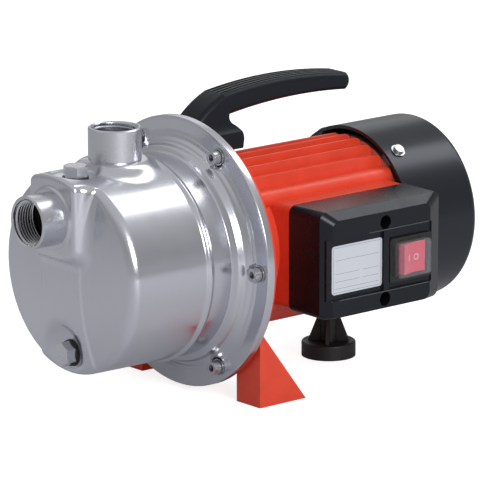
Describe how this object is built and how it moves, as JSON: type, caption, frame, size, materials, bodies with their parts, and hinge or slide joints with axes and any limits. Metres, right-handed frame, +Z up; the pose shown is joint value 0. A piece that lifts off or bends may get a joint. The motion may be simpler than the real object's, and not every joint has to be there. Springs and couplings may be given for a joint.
{
  "type": "jet pump",
  "caption": "Self-priming garden jet pump: domed stainless casing with two threaded ports, finned motor, terminal box with rocker switch, carrying handle and three feet.",
  "frame": {"origin": "on the floor, midway between the two bolt holes of the front feet", "axes": "+X along the shaft from the suction port towards the fan, +Z up along the discharge port; the terminal box is on the -Y side"},
  "size_m": [0.3726, 0.2145, 0.2218],
  "materials": {
    "stainless": "pressed and finely brushed",
    "socket_steel": "turned, satin",
    "fastener_steel": "zinc plated",
    "shaft_steel": "ground",
    "bearing_steel": "polished",
    "core_steel": "laminated, varnished",
    "copper_winding": "enamelled copper wire",
    "cast_aluminium": "as cast",
    "orange_paint": "satin powder coat",
    "black_paint": "satin paint",
    "seal_rubber": "moulded",
    "seal_ceramic": "lapped",
    "foot_rubber": "moulded, satin",
    "handle_plastic": "fine moulded grain",
    "box_plastic": "satin gloss",
    "switch_black": "glossy",
    "rocker_red": "glossy",
    "clear_hood": "clear soft plastic",
    "label_foil": "printed foil, bare",
    "wet_plastic": "glass-filled moulding",
    "fan_plastic": "moulded",
    "capacitor_white": "plain",
    "terminal_plastic": "plain"
  },
  "bodies": {
    "pump": {"pump_casing": "stainless", "suction_socket": "socket_steel", "discharge_socket": "socket_steel", "plug_bushes": "socket_steel", "casing_screws": "fastener_steel", "casing_washers": "fastener_steel", "casing_seal": "seal_rubber", "back_plate": "stainless", "seal_seat": "seal_ceramic", "diffuser": "wet_plastic", "jet_tube": "wet_plastic", "jet_nozzle": "wet_plastic", "jet_chamber": "wet_plastic", "motor_bracket": "orange_paint", "motor_housing": "orange_paint", "front_bearing_outer": "bearing_steel", "rear_bearing_outer": "bearing_steel", "wave_washer": "bearing_steel", "stator_core": "core_steel", "stator_windings": "copper_winding", "rear_shield": "cast_aluminium", "tie_bolts": "fastener_steel", "fan_cover": "black_paint", "fan_cover_screws": "fastener_steel", "fan_cover_washers": "fastener_steel", "rear_foot": "foot_rubber", "rear_foot_stud": "fastener_steel", "handle": "handle_plastic", "handle_screws": "fastener_steel", "terminal_box": "box_plastic", "box_gasket": "seal_rubber", "box_screws": "fastener_steel", "label_plate": "label_foil", "switch_frame": "switch_black", "switch_hood": "clear_hood", "capacitor": "capacitor_white", "capacitor_clip": "bearing_steel", "terminal_block": "terminal_plastic", "cable_bush": "box_plastic", "bush_nut": "box_plastic"},
    "rotor": {"shaft": "shaft_steel", "impeller": "wet_plastic", "impeller_nut": "fastener_steel", "seal_head": "seal_rubber", "slinger": "seal_rubber", "rotor_core": "core_steel", "rotor_end_rings": "cast_aluminium", "front_bearing_inner": "bearing_steel", "rear_bearing_inner": "bearing_steel", "fan": "fan_plastic", "fan_clip": "fastener_steel"},
    "front_balls": {"front_ball_cage": "bearing_steel"},
    "rear_balls": {"rear_ball_cage": "bearing_steel"},
    "filling_plug": {"filling_plug": "socket_steel", "filling_plug_seal": "seal_rubber"},
    "drain_plug": {"drain_plug": "socket_steel", "drain_plug_seal": "seal_rubber"},
    "rocker": {"rocker": "rocker_red"}
  },
  "joints": [
    {"name": "rotor_spin", "type": "hinge", "parent": "pump", "child": "rotor", "pos_m": [0, 0, 0.1035], "axis": [1, 0, 0], "continuous": true},
    {"name": "front_cage_spin", "type": "hinge", "parent": "pump", "child": "front_balls", "pos_m": [-0.0075, 0, 0.1035], "axis": [1, 0, 0], "continuous": true},
    {"name": "rear_cage_spin", "type": "hinge", "parent": "pump", "child": "rear_balls", "pos_m": [0.1295, 0, 0.1035], "axis": [1, 0, 0], "continuous": true},
    {"name": "filling_plug_out", "type": "slide", "parent": "pump", "child": "filling_plug", "axis": [0, 0, 1], "range_m": [0, 0.02]},
    {"name": "drain_plug_out", "type": "slide", "parent": "pump", "child": "drain_plug", "axis": [-1, 0, 0], "range_m": [0, 0.02]},
    {"name": "rocker_tilt", "type": "hinge", "parent": "pump", "child": "rocker", "pos_m": [0.1017, -0.1025, 0.0985], "axis": [0, 0, 1], "range_deg": [-14, 0]}
  ],
  "couplings": [
    {"joint": "front_cage_spin", "follows": "rotor_spin", "ratio": 0.382},
    {"joint": "rear_cage_spin", "follows": "rotor_spin", "ratio": 0.382}
  ]
}
